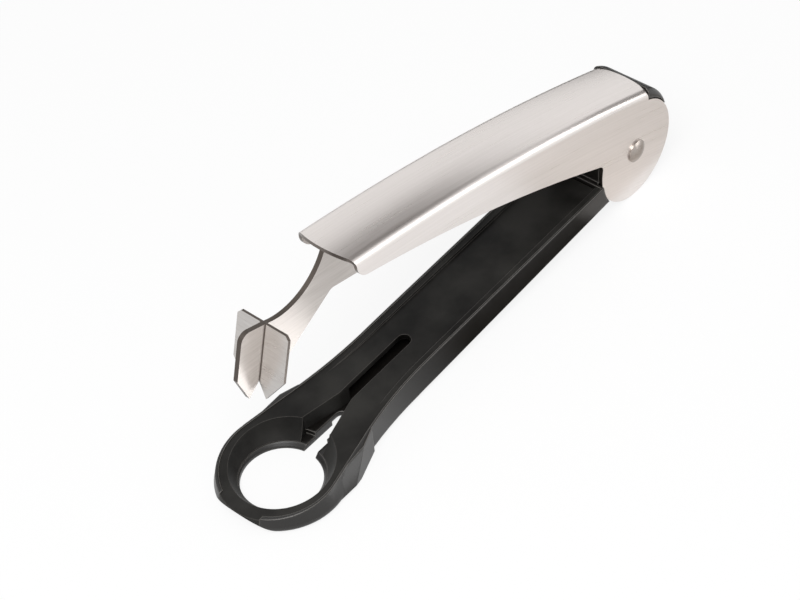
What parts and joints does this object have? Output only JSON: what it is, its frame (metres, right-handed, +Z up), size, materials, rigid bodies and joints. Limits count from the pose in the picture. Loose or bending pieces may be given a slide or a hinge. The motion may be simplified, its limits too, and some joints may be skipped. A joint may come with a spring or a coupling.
{
  "type": "plum pitter",
  "caption": "Hand lever tool with an arched steel handle and a cross of blades, hinged on a plastic arm whose cup holds a plum over a hole for the stone.",
  "frame": {"origin": "on the table under the middle of the tool's length and width", "axes": "+X along the tool from the cup to the hinge, +Y across it, +Z up from the table"},
  "size_m": [0.1976, 0.0406, 0.0736],
  "materials": {
    "arm_plastic": "satin moulded",
    "liner_plastic": "matt moulded, fine texture",
    "bush_plastic": "moulded",
    "handle_steel": "brushed along the handle",
    "blade_steel": "stamped and lightly brushed",
    "rivet_steel": "satin headed",
    "plain_steel": "plain"
  },
  "bodies": {
    "lower_arm": {"lower_shell": "arm_plastic", "cup_liner": "liner_plastic", "liner_screws": "plain_steel", "near_bush": "bush_plastic", "far_bush": "bush_plastic"},
    "lever": {"handle_shell": "handle_steel", "neck_plate": "blade_steel", "near_blade": "blade_steel", "far_blade": "blade_steel", "near_angle": "plain_steel", "far_angle": "plain_steel", "bracket_rivets": "plain_steel", "hinge_sleeve": "plain_steel", "hinge_rivet": "rivet_steel"}
  },
  "joints": [
    {"name": "lever_hinge", "type": "hinge", "parent": "lower_arm", "child": "lever", "pos_m": [0.08074, 0, 0.018], "axis": [0, -1, 0], "range_deg": [0, 22]}
  ]
}
